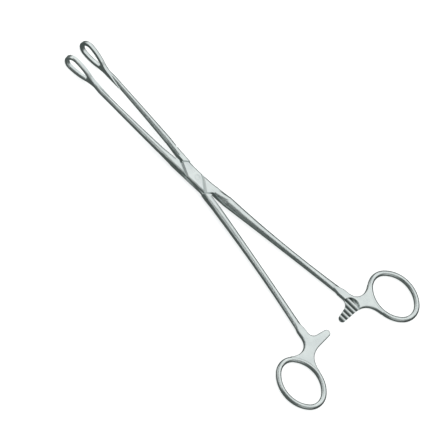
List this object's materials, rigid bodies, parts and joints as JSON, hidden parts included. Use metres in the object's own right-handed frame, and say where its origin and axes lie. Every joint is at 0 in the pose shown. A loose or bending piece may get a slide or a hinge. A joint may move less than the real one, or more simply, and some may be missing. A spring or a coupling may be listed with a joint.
{
  "type": "sponge holding forceps",
  "caption": "Long ring-handled forceps with serrated, windowed loop jaws, a box lock hinge and a ratchet, for holding sponges and swabs.",
  "frame": {"origin": "on the hinge line, at the flat underside of the box lock", "axes": "+X from the lock towards the finger rings; +Y towards the ring of the box half, at right angles to the hinge line; +Z along the hinge line, up"},
  "size_m": [0.2409, 0.1134, 0.0114],
  "materials": {
    "box_half_steel": "satin",
    "tongue_half_steel": "satin",
    "lock_pin_steel": "satin"
  },
  "bodies": {
    "box_body": {"box_half": "box_half_steel", "lock_pin": "lock_pin_steel"},
    "tongue_body": {"tongue_half": "tongue_half_steel"}
  },
  "joints": [
    {"name": "box_lock_hinge", "type": "hinge", "parent": "box_body", "child": "tongue_body", "pos_m": [0, 0, 0.0024], "axis": [0, 0, -1], "range_deg": [-6.8, 23.2]}
  ]
}
